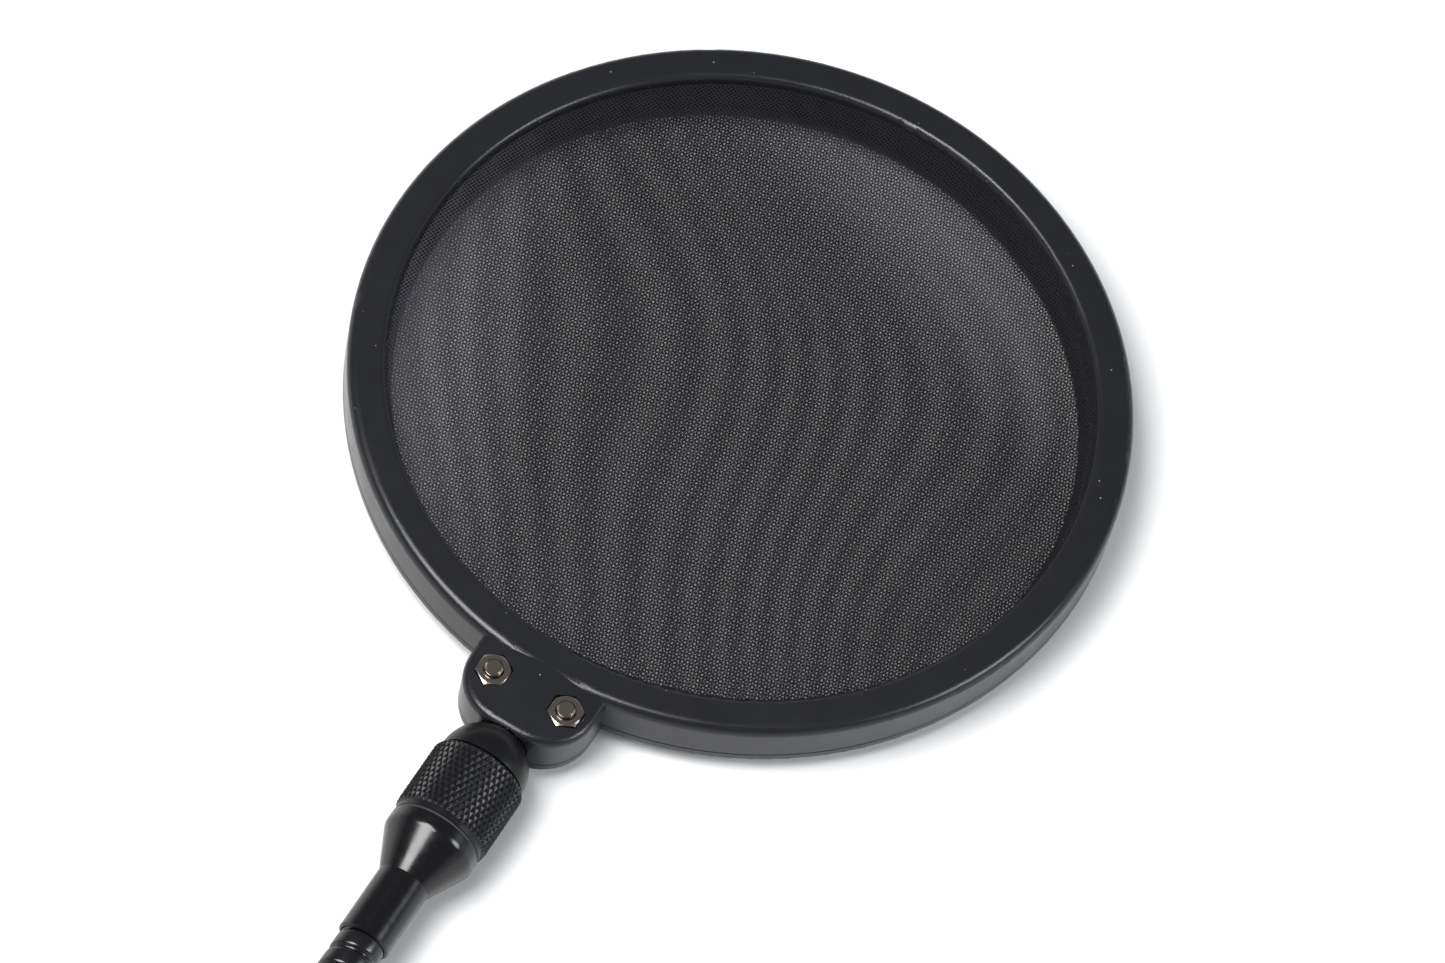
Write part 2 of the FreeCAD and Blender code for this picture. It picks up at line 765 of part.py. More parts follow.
stud_hole = cylinder(
    "stud_hole", "stud_hole_radius", "jaw_thickness + 2", **on_arm("frame_reach - 1"),
)
stud_nut_pocket = hexagon(
    "stud_nut_pocket", "stud_nut_pocket_radius", "stud_nut_pocket_depth + 1",
    y=at_reach("frame_reach + jaw_thickness - stud_nut_pocket_depth"), turn=ARM_HEX,
)
insert_hole = cylinder(
    "insert_hole", "insert_radius", "screw_arm_thickness + 2",
    **on_arm("frame_reach + frame_length - screw_arm_thickness - 1"),
)
keep(cut("frame", frame_body, [
    stud_hole,
    stud_nut_pocket,
    insert_hole,
    rib_recess("rib_recess_top", "frame_half_depth - rib_recess_depth"),
    rib_recess("rib_recess_bottom", "0 - frame_half_depth"),
]), "clamp_frame")

stud_nut_blank = hexagon(
    "stud_nut_blank", "stud_nut_corner_radius", "stud_nut_height",
    y=at_reach("frame_reach + jaw_thickness - stud_nut_pocket_depth"), turn=ARM_HEX,
)
stud_nut_bore = cylinder("stud_nut_bore", "stud_radius", "20", **on_arm("frame_reach"))
keep(cut("stud_nut_cut", stud_nut_blank, [stud_nut_bore]), "stud_nut")

saddle_block = box(
    "saddle_block", "saddle_half_width * 2", "saddle_height", "saddle_half_depth * 2",
    x="0 - saddle_half_width", y=at_reach("frame_reach + jaw_thickness + saddle_height"),
    z="0 - saddle_half_depth",
)
stand_tube = cylinder("stand_tube", "stand_tube_radius", "60", z="0 - 30")
keep(cut("saddle", saddle_block, [stand_tube]), "saddle_pad")

insert = turned("insert_turned", [
    ("insert_bore_radius", "0"),
    ("insert_radius", "0"),
    ("insert_radius", "screw_arm_thickness"),
    ("insert_flange_radius", "screw_arm_thickness"),
    ("insert_flange_radius", "screw_arm_thickness + insert_flange_height"),
    ("insert_bore_radius", "screw_arm_thickness + insert_flange_height"),
], **on_arm("frame_reach + frame_length - screw_arm_thickness"))
keep(insert, "thread_insert")

screw = turned("screw_turned", [
    ("0", "0"),
    ("screw_nose_radius", "0"),
    ("screw_nose_radius", "screw_nose_length"),
    ("screw_radius", "screw_nose_length"),
    ("screw_radius", "screw_end_reach - screw_nose_reach - screw_end_chamfer"),
    ("screw_radius - screw_end_chamfer", "screw_end_reach - screw_nose_reach"),
    ("0", "screw_end_reach - screw_nose_reach"),
], **on_arm("screw_nose_reach"))
keep(screw, "clamp_screw")

foot = turned("foot_turned", [
    ("0", "0"),
    ("foot_radius", "0"),
    ("foot_radius", "foot_height"),
    ("foot_hole_radius", "foot_height"),
    ("foot_hole_radius", "foot_height - foot_hole_depth"),
    ("0", "foot_height - foot_hole_depth"),
], **on_arm("foot_reach"))
round_body(foot, "foot_round", circle_test("foot_radius", "foot_height"))
keep(foot, "pressure_foot")
foot_pad = cylinder(
    "foot_pad_disc", "foot_pad_radius", "foot_pad_height", **on_arm("foot_reach - foot_pad_height"),
)
keep(foot_pad, "foot_pad")

wing_block = box(
    "wing_block", "wing_half_span * 2", "knob_height - knob_skirt_height", "wing_half_depth * 2",
    x="0 - wing_half_span", y=at_reach("knob_reach + knob_height"), z="0 - wing_half_depth",
)
wings = rounded(
    "wings", wing_block, "wing_round",
    lambda edge: near(abs(edge.BoundBox.Center.x), SIZES["wing_half_span"])
    and edge.BoundBox.YLength < 0.01 or near(edge.BoundBox.XLength, 0)
    and near(edge.BoundBox.ZLength, 0),
)
hub = turned("hub_turned", [
    ("0", "0"),
    ("knob_skirt_radius", "0"),
    ("knob_skirt_radius", "knob_skirt_height"),
    ("knob_hub_radius", "knob_skirt_height"),
    ("knob_hub_radius", "knob_height"),
    ("0", "knob_height"),
], **on_arm("knob_reach"))
knob_bore = cylinder(
    "knob_bore", "screw_radius + 0.02", "screw_end_reach - knob_reach + 1", **on_arm("knob_reach - 1"),
)
knob_blank = join("knob_blank", [hub, wings])
keep(cut("knob", knob_blank, [knob_bore]), "wing_knob")

# ---------------------------------------------------------------- check and write
doc.recompute()
for thing in doc.Objects:
    troubles = [state for state in thing.State if state in ("Invalid", "Error")]
    if troubles:
        raise RuntimeError("%s failed: %s" % (thing.Label, troubles))
for thing in subparts:
    if thing.Shape.isNull() or not thing.Shape.isValid():
        raise RuntimeError("%s has no valid shape" % thing.Label)

os.makedirs("parts", exist_ok=True)
for thing in subparts:
    thing.Shape.exportStep("parts/%s.step" % thing.Label)
    print("%-22s solids %d volume %9.1f mm3" % (
        thing.Label, len(thing.Shape.Solids), thing.Shape.Volume))
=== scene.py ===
import json
import math

import bpy
import numpy as np
from mathutils import Matrix, Vector

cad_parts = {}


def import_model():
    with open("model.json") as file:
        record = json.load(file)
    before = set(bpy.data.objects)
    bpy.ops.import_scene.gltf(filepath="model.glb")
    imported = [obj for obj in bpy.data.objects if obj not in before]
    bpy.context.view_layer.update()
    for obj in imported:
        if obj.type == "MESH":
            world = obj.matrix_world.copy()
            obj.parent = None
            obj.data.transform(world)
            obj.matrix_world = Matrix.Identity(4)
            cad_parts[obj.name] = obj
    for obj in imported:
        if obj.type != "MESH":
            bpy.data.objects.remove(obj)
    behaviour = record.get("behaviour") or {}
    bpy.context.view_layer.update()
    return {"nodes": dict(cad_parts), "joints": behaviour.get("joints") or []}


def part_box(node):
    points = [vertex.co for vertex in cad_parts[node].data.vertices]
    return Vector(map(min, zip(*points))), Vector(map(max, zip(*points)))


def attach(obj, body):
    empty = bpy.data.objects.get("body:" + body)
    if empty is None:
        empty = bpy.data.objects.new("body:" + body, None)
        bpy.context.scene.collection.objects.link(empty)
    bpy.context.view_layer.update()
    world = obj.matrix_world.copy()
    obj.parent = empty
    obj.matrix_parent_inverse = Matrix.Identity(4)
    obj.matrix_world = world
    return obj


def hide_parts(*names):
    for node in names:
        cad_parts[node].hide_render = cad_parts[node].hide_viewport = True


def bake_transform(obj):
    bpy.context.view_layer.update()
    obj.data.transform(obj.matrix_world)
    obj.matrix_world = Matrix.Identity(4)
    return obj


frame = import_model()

MM = 0.001
scene = bpy.context.scene
scene.view_settings.view_transform = "Standard"


# ---------------------------------------------------------------- places read from the frame
def middle(node):
    """Centre of a CAD node's bounding box."""
    low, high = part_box(node)
    return (low + high) / 2


HOOP_CENTRE = middle("front_screen")
SCREEN_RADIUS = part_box("front_screen")[1].x
FACE_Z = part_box("front_shell")[1].z
FLOOR_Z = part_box("clamp_frame")[0].z


# ---------------------------------------------------------------- mesh helpers
def new_piece(name, vertices, faces, smooth=True):
    """A mesh object in the scene, made from lists of vertices and faces."""
    mesh = bpy.data.meshes.new(name)
    mesh.from_pydata([tuple(v) for v in vertices], [], [tuple(f) for f in faces])
    mesh.validate()
    piece = bpy.data.objects.new(name, mesh)
    scene.collection.objects.link(piece)
    mesh.polygons.foreach_set("use_smooth", [smooth] * len(mesh.polygons))
    mesh.update()
    return piece


def quick_mesh(name, vertices, faces):
    """A mesh of quads from number arrays, for pieces with very many faces."""
    mesh = bpy.data.meshes.new(name)
    mesh.vertices.add(len(vertices))
    mesh.vertices.foreach_set("co", vertices.astype(np.float32).ravel())
    mesh.loops.add(faces.size)
    mesh.loops.foreach_set("vertex_index", faces.astype(np.int32).ravel())
    mesh.polygons.add(len(faces))
    mesh.polygons.foreach_set("loop_start", np.arange(0, faces.size, 4, dtype=np.int32))
    mesh.polygons.foreach_set("use_smooth", np.ones(len(faces), bool))
    mesh.update(calc_edges=True)
    mesh.validate()
    piece = bpy.data.objects.new(name, mesh)
    scene.collection.objects.link(piece)
    return piece


def lattice(points, wrap_rows=False, close_ends=False):
    """Vertices and quads of a stack of closed rings; points is (rings, around, 3)."""
    rings, around = points.shape[:2]
    vertices = points.reshape(-1, 3)
    faces = []
    for ring in range(rings if wrap_rows else rings - 1):
        low = ring * around
        high = ((ring + 1) % rings) * around
        for step in range(around):
            following = (step + 1) % around
            faces.append((low + step, low + following, high + following, high + step))
    if close_ends:
        faces.append(tuple(range(around - 1, -1, -1)))
        faces.append(tuple(range((rings - 1) * around, rings * around)))
    return vertices, faces


def arm_rings(radii, stations, around):
    """Rings about the arm's axis: a radius for every ring and angle, a y for every ring."""
    angles = np.arange(around) * 2 * math.pi / around
    radii = np.broadcast_to(radii, (len(stations), around))
    points = np.empty((len(stations), around, 3))
    points[..., 0] = radii * np.cos(angles)
    points[..., 1] = np.asarray(stations).reshape(-1, 1)
    points[..., 2] = radii * np.sin(angles)
    return points


# ---------------------------------------------------------------- materials
RANGE_SOCKETS = ("From Min", "From Max", "To Min", "To Max")


class Shader:
    """A material with one Principled shader and short calls for its nodes."""

    def __init__(self, name, color, roughness, **values):
        self.material = bpy.data.materials.new(name)
        self.material.use_nodes = True
        self.tree = self.material.node_tree
        self.principled = self.tree.nodes["Principled BSDF"]
        self.principled.inputs["Base Color"].default_value = (*color, 1)
        self.principled.inputs["Roughness"].default_value = roughness
        for socket, value in values.items():
            self.principled.inputs[socket.replace("_", " ")].default_value = value
        self.coords = self.node("TexCoord").outputs["Object"]

    def node(self, kind, **values):
        """Adds a node and sets its inputs and properties by name."""
        made = self.tree.nodes.new("ShaderNode" + kind)
        for key, value in values.items():
            if key in made.inputs:
                made.inputs[key].default_value = value
            else:
                setattr(made, key, value)
        return made

    def link(self, output, target):
        self.tree.links.new(output, target)

    def noise(self, size, detail=2.0, roughness=0.5):
        """Noise whose features are about this size, in metres."""
        made = self.node("TexNoise", Scale=1 / size, Detail=detail, Roughness=roughness)
        self.link(self.coords, made.inputs["Vector"])
        return made.outputs["Fac"]

    def spread(self, source, low, high, floor, ceiling):
        """Maps source from low..high to floor..ceiling."""
        made = self.node("MapRange")
        for key, value in zip(RANGE_SOCKETS, (low, high, floor, ceiling)):
            made.inputs[key].default_value = value
        self.link(source, made.inputs["Value"])
        return made.outputs["Result"]

    def blend_colors(self, factor, first, second):
        """The first colour where the factor is 0, the second where it is 1."""
        made = self.node("Mix", data_type="RGBA")
        made.inputs[6].default_value = (*first, 1)
        made.inputs[7].default_value = (*second, 1)
        self.link(factor, made.inputs["Factor"])
        return made.outputs[2]

    def multiply(self, first, second):
        made = self.node("Math", operation="MULTIPLY")
        self.link(first, made.inputs[0])
        self.link(second, made.inputs[1])
        return made.outputs[0]

    def bump(self, height, distance):
        """Bumps whose height at 1 is this distance, in metres."""
        made = self.node("Bump", Strength=1.0, Distance=distance)
        self.link(height, made.inputs["Height"])
        return made.outputs["Normal"]

    def to(self, source, socket):
        """Links a source to a socket of the Principled shader."""
        self.link(source, self.principled.inputs[socket])


# Dust: one speck may lie in each cell, and only the cells with a high random share have one. A
# speck's edge runs between two distances, as shares of the cell.
DUST_GREY = (0.4, 0.4, 0.42)
DUST_CELL = 2.2 * MM
DUST_EDGE = (0.05, 0.085)
DUST_SHARE = (0.8, 0.98)


def moulded_plastic(name, color, roughness, grain, depth, specular, dust=0.0):
    """Injection-moulded plastic: fine spark-eroded grain, uneven sheen and a few dust specks.
    Grain and depth are the size and height of the grain; dust is how strongly specks show."""
    shader = Shader(name, color, roughness, Specular_IOR_Level=specular)
    grain_noise = shader.noise(grain, 2.0, 0.6)
    shader.to(shader.bump(grain_noise, depth), "Normal")
    patches = shader.noise(9 * MM, 3.0)
    shader.to(shader.spread(patches, 0.3, 0.7, roughness - 0.04, roughness + 0.05), "Roughness")
    if dust:
        specks = shader.node("TexVoronoi", Scale=1 / DUST_CELL, Randomness=1.0)
        shader.link(shader.coords, specks.inputs["Vector"])
        spot = shader.spread(specks.outputs["Distance"], *DUST_EDGE, 1.0, 0.0)
        pick = shader.node("SeparateColor")
        shader.link(specks.outputs["Color"], pick.inputs["Color"])
        chosen = shader.spread(pick.outputs["Red"], *DUST_SHARE, 0.0, dust)
        share = shader.multiply(spot, chosen)
        shader.to(shader.blend_colors(share, color, DUST_GREY), "Base Color")
    return shader.material


def plain_metal(name, color, roughness):
    """Plated or machined metal with faint handling marks."""
    shader = Shader(name, color, roughness, Metallic=1.0)
    marks = shader.noise(0.4 * MM, 4.0, 0.7)
    shader.to(shader.spread(marks, 0.25, 0.75, roughness - 0.05, roughness + 0.08), "Roughness")
    shader.to(shader.bump(marks, 0.004 * MM), "Normal")
    return shader.material


# Noise squeezed along the arm, so that it becomes lines around it.
TURNING_SCALE = (60, 7000, 60)


def anodised(name, color, roughness, specular):
    """Black anodised aluminium: a dark dyed film over fine turning lines around the arm's axis."""
    shader = Shader(name, color, roughness, Specular_IOR_Level=specular)
    marks = shader.noise(1.5 * MM, 3.0, 0.6)
    shader.to(shader.spread(marks, 0.3, 0.7, roughness - 0.03, roughness + 0.05), "Roughness")
    turning = shader.node("TexNoise", Scale=1.0, Detail=2.0)
    stretch = shader.node("Mapping")
    stretch.inputs["Scale"].default_value = TURNING_SCALE
    shader.link(shader.coords, stretch.inputs["Vector"])
    shader.link(stretch.outputs["Vector"], turning.inputs["Vector"])
    shader.to(shader.bump(turning.outputs["Fac"], 0.0015 * MM), "Normal")
    return shader.material


def rubber(name):
    """Matt black rubber with a little dust on it."""
    shader = Shader(name, (0.018, 0.018, 0.019), 0.75)
    shader.to(shader.bump(shader.noise(0.5 * MM, 3.0), 0.02 * MM), "Normal")
    dusty = shader.noise(6 * MM, 3.0)
    shader.to(shader.blend_colors(dusty, (0.014, 0.014, 0.015), (0.03, 0.03, 0.031)), "Base Color")
    return shader.material


# Two stretches of the rim where the threads are thinner and their colour carries painted light,
# brighter than the rest. Each has its direction in degrees, where the painted light begins, where
# it is full and the radius where it ends, all three as shares of the screen's radius, and how many
# times brighter the thread is painted there.
RIMS_THINNED_WITH_PAINTED_LIGHT = (
    (68, 0.5, 0.82, 0.88, 4.0),
    (203, 0.55, 0.95, 1.1, 4.0),
)
PAINTED_LIGHT_RIM_FADE = 0.03
THREAD_BLACK = (0.007, 0.007, 0.0085)


def scaled(color, gain):
    return tuple(channel * gain for channel in color)


def nylon_thread(name):
    """Black nylon thread, unevenly dyed, with painted light that makes it brighter towards two
    stretches of the rim.
    """
    shader = Shader(name, THREAD_BLACK, 0.5, Specular_IOR_Level=0.2)
    from_centre = shader.node("Mapping")
    from_centre.inputs["Location"].default_value = -HOOP_CENTRE
    shader.link(shader.coords, from_centre.inputs["Vector"])
    tone = shader.noise(14 * MM, 2.0)
    dye_and_painted_light = shader.blend_colors(tone, scaled(THREAD_BLACK, 0.7), scaled(THREAD_BLACK, 1.3))
    radius = shader.node("VectorMath", operation="LENGTH")
    shader.link(from_centre.outputs["Vector"], radius.inputs[0])
    # Painted light: towards each stretch of the rim the thread colour is mixed towards a brighter
    # black.
    for side, begins, full, ends, gain in RIMS_THINNED_WITH_PAINTED_LIGHT:
        turn = math.radians(side)
        toward = shader.node("VectorMath", operation="DOT_PRODUCT")
        shader.link(from_centre.outputs["Vector"], toward.inputs[0])
        toward.inputs[1].default_value = (math.cos(turn), math.sin(turn), 0)
        rise = shader.spread(
            toward.outputs["Value"],
            SCREEN_RADIUS * begins, SCREEN_RADIUS * full, 0.0, 1.0,
        )
        fall = shader.spread(
            radius.outputs["Value"],
            SCREEN_RADIUS * (ends - PAINTED_LIGHT_RIM_FADE), SCREEN_RADIUS * ends, 1.0, 0.0,
        )
        painted_brighter = shader.node("Mix", data_type="RGBA")
        shader.link(dye_and_painted_light, painted_brighter.inputs[6])
        painted_brighter.inputs[7].default_value = (*scaled(THREAD_BLACK, gain), 1)
        shader.link(shader.multiply(rise, fall), painted_brighter.inputs["Factor"])
        dye_and_painted_light = painted_brighter.outputs[2]
    shader.to(dye_and_painted_light, "Base Color")
    return shader.material


def natural_nylon(name):
    """Undyed nylon, off-white and slightly translucent."""
    shader = Shader(name, (0.62, 0.6, 0.54), 0.45, Subsurface_Weight=0.15)
    shader.to(shader.bump(shader.noise(0.6 * MM, 2.0), 0.01 * MM), "Normal")
    return shader.material


HOOP_BLACK = moulded_plastic(
    "hoop_plastic", (0.0082, 0.0084, 0.0105), 0.235,
    grain=0.28 * MM, depth=0.035 * MM, specular=0.3, dust=0.6,
)
SPACER_BLACK = moulded_plastic(
    "spacer_plastic", (0.006, 0.006, 0.007), 0.5,
    grain=0.3 * MM, depth=0.03 * MM, specular=0.25,
)
CAP_BLACK = moulded_plastic(
    "cap_plastic", (0.004, 0.004, 0.0045), 0.3,
    grain=0.2 * MM, depth=0.006 * MM, specular=0.2,
)
CLAMP_BLACK = moulded_plastic(
    "clamp_plastic", (0.008, 0.008, 0.009), 0.36,
    grain=0.45 * MM, depth=0.06 * MM, specular=0.25, dust=0.3,
)
KNOB_BLACK = moulded_plastic(
    "knob_plastic", (0.007, 0.007, 0.008), 0.3,
    grain=0.4 * MM, depth=0.02 * MM, specular=0.28, dust=0.3,
)
NICKEL = plain_metal("nickel_steel", (0.31, 0.275, 0.24), 0.17)
POLISHED = plain_metal("polished_steel", (0.72, 0.71, 0.69), 0.12)
ZINC = plain_metal("zinc_steel", (0.34, 0.345, 0.36), 0.3)
BRASS = plain_metal("turned_brass", (0.42, 0.28, 0.11), 0.28)
COLLAR_BLACK = anodised("collar_anodised", (0.004, 0.004, 0.005), 0.34, specular=0.22)
FERRULE_BLACK = anodised("ferrule_anodised", (0.0024, 0.0024, 0.0032), 0.19, specular=0.38)
COIL_BLACK = anodised("gooseneck_coating", (0.0035, 0.0035, 0.0045), 0.22, specular=0.42)
RUBBER = rubber("black_rubber")
NATURAL = natural_nylon("natural_nylon")
THREAD_FRONT = nylon_thread("nylon_thread_front")
THREAD_REAR = nylon_thread("nylon_thread_rear")


def paint(piece, material):
    piece.data.materials.clear()
    piece.data.materials.append(material)


def soften(node):
    """Smooth shading on a CAD node, with edges of more than 35 degrees kept crisp."""
    mesh = node.data
    mesh.polygons.foreach_set("use_smooth", [True] * len(mesh.polygons))
    mesh.set_sharp_from_angle(angle=math.radians(35))


NODE_MATERIALS = {
    "front_shell": HOOP_BLACK,
    "rear_shell": HOOP_BLACK,
    "screen_spacer_ring": SPACER_BLACK,
    "lug_nuts": NICKEL,
    "lug_bolts": NICKEL,
    "ball_stud": POLISHED,
    "socket_cap": CAP_BLACK,
    "socket_liner": NATURAL,
    "pressure_seat": NATURAL,
    "disc_spring": ZINC,
    "thrust_washer": ZINC,
    "seal_ring": RUBBER,
    "upper_ferrule": FERRULE_BLACK,
    "lower_ferrule": FERRULE_BLACK,
    "clamp_frame": CLAMP_BLACK,
    "stud_nut": NICKEL,
    "saddle_pad": RUBBER,
    "thread_insert": BRASS,
    "clamp_screw": ZINC,
    "pressure_foot": CLAMP_BLACK,
    "foot_pad": RUBBER,
    "wing_knob": KNOB_BLACK,
    "knurled_collar": COLLAR_BLACK,
    "front_screen": THREAD_FRONT,
    "rear_screen": THREAD_REAR,
}
for name, node in frame["nodes"].items():
    paint(node, NODE_MATERIALS.get(name, COIL_BLACK))


# ---------------------------------------------------------------- woven screens
ROW_PITCH = 0.68 * MM
COLUMN_PITCH = 0.79 * MM
WEAVE_TURN = math.radians(-23.3)
REAR_TURN = math.radians(45)
THREAD_WIDTH = 0.272 * MM
THREAD_RISE = 0.1 * MM
RIM_GAP = 0.35 * MM

# How far a thread lies off its place, how far it wanders, and over what lengths.
UNEVEN = 0.015 * MM
WANDER = 0.6 * UNEVEN
SHORT_WANDER = 8 * MM
LONG_WANDER = 20 * MM

# The most that stretching into the hoop bends the lines each way.
BOW = 1.1 * MM
SKEW = 0.9 * MM

# Bands of thicker and thinner thread: their pitch, direction and swing, and the thinning at the
# stretches of the rim that also carry painted light, both as shares of the usual width.
BAND = 8.7 * MM
BAND_TURN = math.radians(30)
BAND_SWING = 0.1
RIM_THINNING = 0.16


def pull(u, v):
    """How far stretching into the hoop has bent the lines of a layer, in that layer's own axes."""
    bow = BOW * np.sin(u / (46 * MM) + 0.7) * np.cos(v / (60 * MM))
    skew = SKEW * np.sin(v / (52 * MM) - 0.4) * np.cos(u / (75 * MM) + 0.3)
    return bow, skew


def thickness(x, y):
    """A thread's width at a place as a share of the usual: bands that wander in three slow waves,
    as two stretched layers show, and thinner threads towards the stretches of the rim that also
    carry painted light."""
    along = (x * math.cos(BAND_TURN) + y * math.sin(BAND_TURN)) / BAND
    wander = (
        0.75 * np.sin(y / (19 * MM) + 0.4)
        + 0.9 * np.sin(x / (34 * MM) - y / (41 * MM) + 1.3)
        + 0.5 * np.sin(x / (15 * MM) + y / (27 * MM) + 2.1)
    )
    width = 1 + BAND_SWING * np.sin(2 * math.pi * (along - wander))
    for side, begins, full, _, _ in RIMS_THINNED_WITH_PAINTED_LIGHT:
        toward = x * math.cos(math.radians(side)) + y * math.sin(math.radians(side))
        width -= RIM_THINNING * np.clip((toward / SCREEN_RADIUS - begins) / (full - begins), 0, 1)
    return width


def across_hoop(radius, pitch):
    """Whole numbers that count the lines at this pitch across the hoop, with three to spare."""
    count = int(radius / pitch) + 3
    return np.arange(-count, count + 1)


def thread_places(straight, along, way, turn, random):
    """Where a thread's crossings lie about the hoop's centre: on a straight line that is a little
    off its place and wanders, bent as the layer is and turned with it."""
    offset = random.normal(0, UNEVEN)
    length = random.uniform(SHORT_WANDER, LONG_WANDER)
    phase = random.uniform(0, 2 * math.pi)
    across = straight + (offset + WANDER * np.sin(along / length + phase))
    u, v = (across, along) if way == 0 else (along, across)
    bow, skew = pull(u, v)
    u, v = u + bow, v + skew
    x = u * math.cos(turn) - v * math.sin(turn)
    y = u * math.sin(turn) + v * math.cos(turn)
    return x, y


def ribbon(x, y, z, side, half):
    """Pairs of points along a flat ribbon, half its width to either side."""
    strip = np.empty((2 * len(x), 3))
    strip[0::2] = np.stack([x - side[0] * half, y - side[1] * half, z], 1)
    strip[1::2] = np.stack([x + side[0] * half, y + side[1] * half, z], 1)
    return strip


def weave(name, node, layer, material):
    """A plain weave of flat monofilament ribbons that pass over and under each other, stretched
    across the hoop. Layer 0 is the front one; the lines of layer 1 run diagonally to its lines."""
    low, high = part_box(node)
    height = (low.z + high.z) / 2
    radius = (high.x - low.x) / 2 - RIM_GAP
    turn = WEAVE_TURN + layer * REAR_TURN
    rows = (ROW_PITCH, COLUMN_PITCH, (math.cos(turn), math.sin(turn)))
    columns = (COLUMN_PITCH, ROW_PITCH, (-math.sin(turn), math.cos(turn)))
    random = np.random.default_rng(5 + layer)
    vertices = []
    faces = []
    total = 0
    for way, (pitch, step, side) in enumerate((rows, columns)):
        crossings = across_hoop(radius, step)
        for line in across_hoop(radius, pitch):
            x, y = thread_places(line * pitch, crossings * step, way, turn, random)
            keep = x ** 2 + y ** 2 < radius ** 2
            if keep.sum() < 3:
                continue
            x, y = x[keep], y[keep]
            over = np.where((crossings[keep] + line + way) % 2 == 0, 1.0, -1.0)
            half = THREAD_WIDTH / 2 * thickness(x, y)
            x, y = x + HOOP_CENTRE.x, y + HOOP_CENTRE.y
            vertices.append(ribbon(x, y, height + over * THREAD_RISE, side, half))
            start = total + 2 * np.arange(len(x) - 1)
            faces.append(np.stack([start, start + 1, start + 3, start + 2], 1))
            total += 2 * len(x)
    piece = quick_mesh(name, np.concatenate(vertices), np.concatenate(faces))
    paint(piece, material)
    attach(piece, "hoop")
    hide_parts(node)


weave("front_nylon_screen", "front_screen", 0, THREAD_FRONT)
weave("rear_nylon_screen", "rear_screen", 1, THREAD_REAR)


# ---------------------------------------------------------------- knurled collar
KNURLS_AROUND = 48
KNURL_ROW = 2.75 * MM
KNURL_DEPTH = 0.45 * MM
KNURL_STEPS = 10
KNURL_RINGS = 88
KNURL_FLAT = 1.15


def saw(values):
    """0 at whole numbers, 1 halfway between them."""
    return 1 - np.abs(2 * (values % 1) - 1)


def knurled_collar():
    """The collar with its diamond knurl, a plain band below it and a bored underside."""
    low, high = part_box("knurled_collar")
    outer = (high.x - low.x) / 2
    top, bottom = high.y, low.y
    chamfer = 0.6 * MM
    knurl_top = top - chamfer
    band_top = bottom + 1.3 * MM
    knurl_bottom = band_top + chamfer
    band = outer - 0.65 * MM
    lip = 8.55 * MM
    bore = 9.45 * MM
    lip_height = 1.4 * MM
    edge = 0.15 * MM
    root = 0.12 * MM
    around = KNURLS_AROUND * KNURL_STEPS
    turns = np.arange(around) / KNURL_STEPS
    knurl_y = np.linspace(knurl_top, knurl_bottom, KNURL_RINGS)
    share = (knurl_top - knurl_y).reshape(-1, 1) / KNURL_ROW
    diamonds = np.minimum(saw(turns + share), saw(turns - share))
    peaks = np.minimum(KNURL_FLAT * diamonds, 1.0)
    knurl_r = outer - KNURL_DEPTH * (1 - peaks)
    plain = np.ones(around)
    rings = [
        (lip * plain, top),
        ((outer - chamfer) * plain, top),
        ((outer - 0.5 * chamfer) * plain, top - 0.15 * chamfer),
    ]
    rings += [(radius, y) for radius, y in zip(knurl_r, knurl_y)]
    rings += [
        ((band + edge) * plain, band_top + root),
        (band * plain, band_top),
        (band * plain, bottom + edge),
        ((band - edge) * plain, bottom),
        (bore * plain, bottom),
        (bore * plain, top - lip_height),
        (lip * plain, top - lip_height),
    ]
    radii = np.array([ring[0] for ring in rings])
    stations = [ring[1] for ring in rings]
    vertices, faces = lattice(arm_rings(radii, stations, around), wrap_rows=True)
    piece = new_piece("collar_with_knurl", vertices, faces)
    piece.data.flip_normals()
    piece.data.set_sharp_from_angle(angle=math.radians(28))
    paint(piece, COLLAR_BLACK)
    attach(piece, "collar")
    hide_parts("knurled_collar")


knurled_collar()


# ---------------------------------------------------------------- gooseneck
RIB_PITCH = 4.8 * MM
RIB_DEPTH = 0.75 * MM
RIB_STEPS = 14
NECK_AROUND = 56

# A rib's shape over half its pitch: where the groove starts and how far it takes to full depth,
# both as shares of the way from the crown to the groove, and how much the crown falls off.
GROOVE_START = 0.66
GROOVE_RUN = 0.26
CROWN_FALL = 0.12


def rib_profile(phase):
    """Share of the groove's depth at a phase of one rib: 0 on the crown, 1 in the groove."""
    distance = np.abs(2 * (phase % 1) - 1)
    groove = np.clip((distance - GROOVE_START) / GROOVE_RUN, 0, 1)
    crown = distance ** 2 * CROWN_FALL
    return np.clip(crown + groove ** 1.5, 0, 1)


def gooseneck_piece(name, high_y, low_y):
    """A length of the spiral-ribbed arm between two places along it."""
    low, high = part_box("gooseneck_segment_2")
    radius = (high.x - low.x) / 2
    rings = max(8, int((high_y - low_y) / RIB_PITCH * RIB_STEPS))
    stations = np.linspace(high_y, low_y, rings + 1)
    turns = np.arange(NECK_AROUND) / NECK_AROUND
    phase = stations.reshape(-1, 1) / RIB_PITCH + turns
    radii = radius - RIB_DEPTH * rib_profile(phase)
    vertices, faces = lattice(arm_rings(radii, stations, NECK_AROUND), close_ends=True)
    piece = new_piece(name, vertices, faces)
    paint(piece, COIL_BLACK)
    return piece


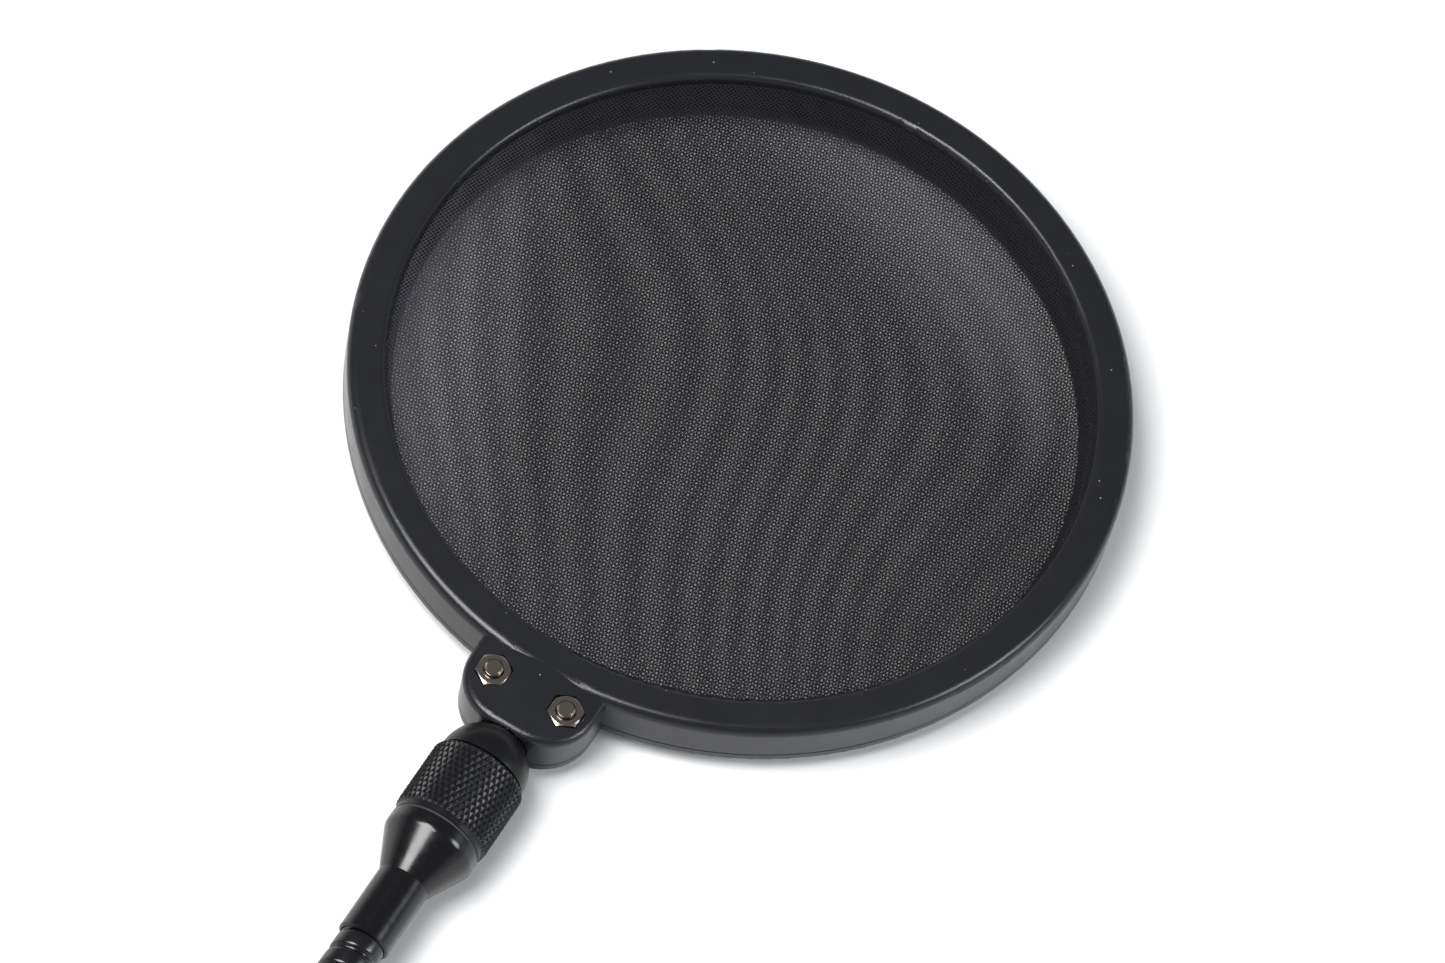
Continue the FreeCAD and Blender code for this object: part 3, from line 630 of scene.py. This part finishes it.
def gooseneck():
    """Two rigid ends and the lengths between them, each spanning one joint."""
    bends = [joint for joint in frame["joints"] if joint["name"].startswith("neck_")]
    bends.sort(key=lambda joint: -joint["pos_m"][1])
    pivots = [joint["pos_m"][1] for joint in bends]
    pitch = pivots[0] - pivots[1]
    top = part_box("gooseneck_segment_1")[1].y
    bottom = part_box("gooseneck_segment_7")[0].y
    halfway = [pivot + pitch / 2 for pivot in pivots] + [pivots[-1] - pitch / 2]
    head = gooseneck_piece("gooseneck_head_end", top, halfway[0])
    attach(head, "neck_1")
    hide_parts("gooseneck_segment_1")
    tail = gooseneck_piece("gooseneck_clamp_end", halfway[-1], bottom)
    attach(tail, "clamp")
    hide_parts("gooseneck_segment_7")
    for index, (joint, high_y, low_y) in enumerate(zip(bends, halfway, halfway[1:]), start=1):
        piece = gooseneck_piece("gooseneck_bend_%d" % index, high_y, low_y)
        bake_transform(piece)
        if index < len(bends):
            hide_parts("gooseneck_segment_%d" % (index + 1))


gooseneck()

for node in frame["nodes"].values():
    soften(node)


# ---------------------------------------------------------------- floor, light and camera
CAMERA_AZIMUTH = 17.0
CAMERA_ELEVATION = 59.55
CAMERA_ROLL = 14.87
CAMERA_DISTANCE = 1.4162
CAMERA_LENS = 164.6
CAMERA_SENSOR = 36.0
CAMERA_AIM = HOOP_CENTRE + Vector((8.8 * MM, -24.7 * MM, 0))
FLOOR_REACH = 6.0
FLOOR_GAP = 0.05 * MM

# Softboxes: azimuth and elevation in degrees, then distance, width and height in metres.
KEY_PLACE = (-42, 63, 1.4, 0.8, 0.8)
SIDE_PLACE = (94, 32, 1.3, 0.5, 0.4)

# The tent's ramp: the upward part of a direction from and to, and the brightness at each.
TENT_RAMP = (0.06, 0.35, 0.9, 0.22)
TENT_WHITE = (0.97, 0.985, 1.0, 1)


def direction(azimuth, elevation):
    """Unit vector from the object towards a viewer; azimuth 0 is the -Y side."""
    turn, rise = math.radians(azimuth), math.radians(elevation)
    return Vector((
        math.sin(turn) * math.cos(rise), -math.cos(turn) * math.cos(rise), math.sin(rise),
    ))


def camera():
    """A long lens above the front of the hoop, rolled so that the arm runs to the lower left."""
    data = bpy.data.cameras.new("camera")
    data.lens = CAMERA_LENS
    data.sensor_width = CAMERA_SENSOR
    data.clip_start = 0.01
    data.clip_end = 20.0
    made = bpy.data.objects.new("camera", data)
    scene.collection.objects.link(made)
    aim = Vector((CAMERA_AIM.x, CAMERA_AIM.y, FACE_Z))
    outward = direction(CAMERA_AZIMUTH, CAMERA_ELEVATION)
    made.location = aim + outward * CAMERA_DISTANCE
    look = (-outward).to_track_quat("-Z", "Y")
    roll = Matrix.Rotation(math.radians(CAMERA_ROLL), 4, "Z")
    made.rotation_euler = (look.to_matrix().to_4x4() @ roll).to_euler()
    scene.camera = made


def area_light(name, place, power, color=(1, 1, 1), shadow=True):
    """A softbox aimed at the hoop, with its power in watts."""
    azimuth, elevation, distance, width, height = place
    data = bpy.data.lights.new(name, "AREA")
    data.shape = "RECTANGLE"
    data.size = width
    data.size_y = height
    data.energy = power
    data.color = color
    data.use_shadow = shadow
    made = bpy.data.objects.new(name, data)
    scene.collection.objects.link(made)
    outward = direction(azimuth, elevation)
    made.location = HOOP_CENTRE + outward * distance
    made.rotation_euler = (-outward).to_track_quat("-Z", "Y").to_euler()


def floor():
    """A sheet of light grey paper just under the lowest point of the object."""
    size = FLOOR_REACH
    vertices = [(-size, -size, 0), (size, -size, 0), (size, size, 0), (-size, size, 0)]
    plane = new_piece("floor", vertices, [(0, 1, 2, 3)], smooth=False)
    plane.location.z = FLOOR_Z - FLOOR_GAP
    shader = Shader("floor_paper", (0.64, 0.64, 0.64), 0.9)
    tone = shader.noise(0.4, 2.0)
    shader.to(shader.blend_colors(tone, (0.63, 0.63, 0.63), (0.65, 0.65, 0.65)), "Base Color")
    paint(plane, shader.material)


def world():
    """A white studio tent: bright near the horizon, dim overhead."""
    made = bpy.data.worlds.new("world")
    made.use_nodes = True
    tree = made.node_tree
    place = tree.nodes.new("ShaderNodeTexCoord")
    split = tree.nodes.new("ShaderNodeSeparateXYZ")
    ramp = tree.nodes.new("ShaderNodeMapRange")
    ramp.interpolation_type = "SMOOTHSTEP"
    for key, value in zip(RANGE_SOCKETS, TENT_RAMP):
        ramp.inputs[key].default_value = value
    tree.links.new(place.outputs["Generated"], split.inputs[0])
    tree.links.new(split.outputs["Z"], ramp.inputs["Value"])
    background = tree.nodes["Background"]
    background.inputs["Color"].default_value = TENT_WHITE
    tree.links.new(ramp.outputs["Result"], background.inputs["Strength"])
    scene.world = made


camera()
world()
floor()
area_light("key_softbox", KEY_PLACE, 36)
area_light("bounced_key", KEY_PLACE, 4, shadow=False)
area_light("side_softbox", SIDE_PLACE, 10, color=(0.88, 0.94, 1.0))


# ---------------------------------------------------------------- box corners as rounded numbers
def plain(corners):
    """Corners as lists of rounded numbers."""
    return [[round(float(value), 6) for value in corner] for corner in corners]
